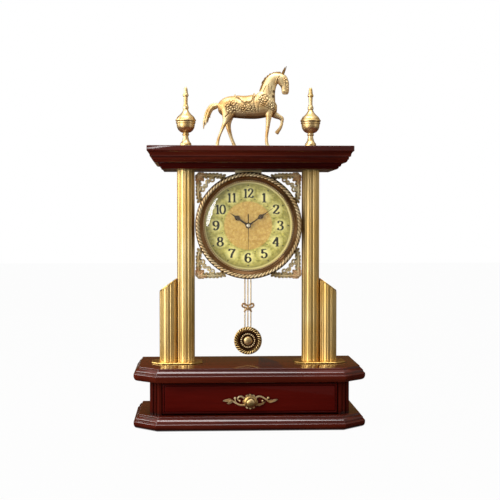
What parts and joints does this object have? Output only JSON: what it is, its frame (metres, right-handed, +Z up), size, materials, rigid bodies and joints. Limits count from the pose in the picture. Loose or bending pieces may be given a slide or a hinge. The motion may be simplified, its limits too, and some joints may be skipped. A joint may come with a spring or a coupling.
{
  "type": "table clock",
  "caption": "Table clock: round dial in a filigree frame between fluted brass columns, moulded wooden base with a drawer, cornice with finials and a walking horse, swinging pendulum.",
  "frame": {"origin": "middle of the underside of the bottom board", "axes": "+Z up, the dial and the drawer face -Y, +X to the right as seen from the front"},
  "size_m": [0.323, 0.16, 0.5078],
  "materials": {
    "lacquered_wood": "dark red gloss lacquer on moulded wood",
    "drawer_lacquer": "deep red gloss lacquer",
    "raw_wood": "plain planed wood",
    "brass": "polished and lacquered",
    "antique_gold": "cast, antique gold plated, dark in the hollows",
    "bronze": "satin brown bronze",
    "rosy_gold": "bright pale gold plated",
    "copper": "copper plated",
    "steel": "zinc plated",
    "dark_bronze": "dark brown satin",
    "dial_paint": "printed on brushed gilt sheet",
    "lens_glass": "clear domed glass",
    "black_plastic": "fine moulded grain",
    "white_plastic": "moulded",
    "cell_jacket": "plain printed jacket"
  },
  "bodies": {
    "clock": {"bottom_plinth": "lacquered_wood", "case_side_left": "lacquered_wood", "case_side_right": "lacquered_wood", "case_back": "lacquered_wood", "case_rail": "lacquered_wood", "drawer_runner_left": "raw_wood", "drawer_runner_right": "raw_wood", "top_plinth": "lacquered_wood", "column_plate_left": "brass", "column_plate_right": "brass", "tall_column_left": "brass", "tall_column_right": "brass", "short_column_left": "brass", "short_column_right": "brass", "short_column_cap_left": "brass", "short_column_cap_right": "brass", "tie_bolt_left": "steel", "tie_bolt_right": "steel", "cornice_soffit": "lacquered_wood", "cornice_crown": "lacquered_wood", "cornice_top": "lacquered_wood", "finial_left": "brass", "finial_right": "brass", "horse": "antique_gold", "head_frame": "antique_gold", "bezel": "bronze", "rope_ring": "rosy_gold", "bead_ring": "antique_gold", "lens": "lens_glass", "head_pan": "antique_gold", "dial": "dial_paint", "head_bracket": "steel", "movement_case": "black_plastic", "movement_cover": "black_plastic", "mounting_nut": "brass", "battery": "cell_jacket", "motor_block": "white_plastic", "pendulum_pin": "steel"},
    "drawer": {"drawer_front": "drawer_lacquer", "drawer_side_left": "raw_wood", "drawer_side_right": "raw_wood", "drawer_back": "raw_wood", "drawer_bottom": "raw_wood", "drawer_pull_plate": "rosy_gold", "drawer_knob": "antique_gold", "drawer_knob_screw": "steel"},
    "minute": {"minute_hand": "dark_bronze", "cannon_pinion": "brass"},
    "hour": {"hour_hand": "dark_bronze", "hour_wheel": "brass"},
    "second": {"second_hand": "dark_bronze"},
    "motion": {"motion_wheel": "brass", "setting_knob": "black_plastic"},
    "pendulum": {"pendulum_hanger": "steel", "pendulum_grid": "brass", "pendulum_bow": "copper", "pendulum_bob": "bronze", "bob_rim": "brass", "bob_boss": "brass"}
  },
  "joints": [
    {"name": "drawer_slide", "type": "slide", "parent": "clock", "child": "drawer", "axis": [0, -1, 0], "range_m": [0, 0.08]},
    {"name": "minute_turn", "type": "hinge", "parent": "clock", "child": "minute", "pos_m": [0, 0.003, 0.2809], "axis": [0, 1, 0], "continuous": true},
    {"name": "hour_turn", "type": "hinge", "parent": "clock", "child": "hour", "pos_m": [0, 0.003, 0.2809], "axis": [0, 1, 0], "continuous": true},
    {"name": "second_turn", "type": "hinge", "parent": "clock", "child": "second", "pos_m": [0, 0.003, 0.2809], "axis": [0, 1, 0], "continuous": true},
    {"name": "motion_turn", "type": "hinge", "parent": "clock", "child": "motion", "pos_m": [0, 0.012, 0.2929], "axis": [0, 1, 0], "continuous": true},
    {"name": "pendulum_swing", "type": "hinge", "parent": "clock", "child": "pendulum", "pos_m": [0, 0.014, 0.2464], "axis": [0, 1, 0], "range_deg": [-10, 10]}
  ],
  "couplings": [
    {"joint": "second_turn", "follows": "minute_turn", "ratio": 60},
    {"joint": "motion_turn", "follows": "minute_turn", "ratio": -0.33333},
    {"joint": "hour_turn", "follows": "minute_turn", "ratio": 0.083333}
  ]
}
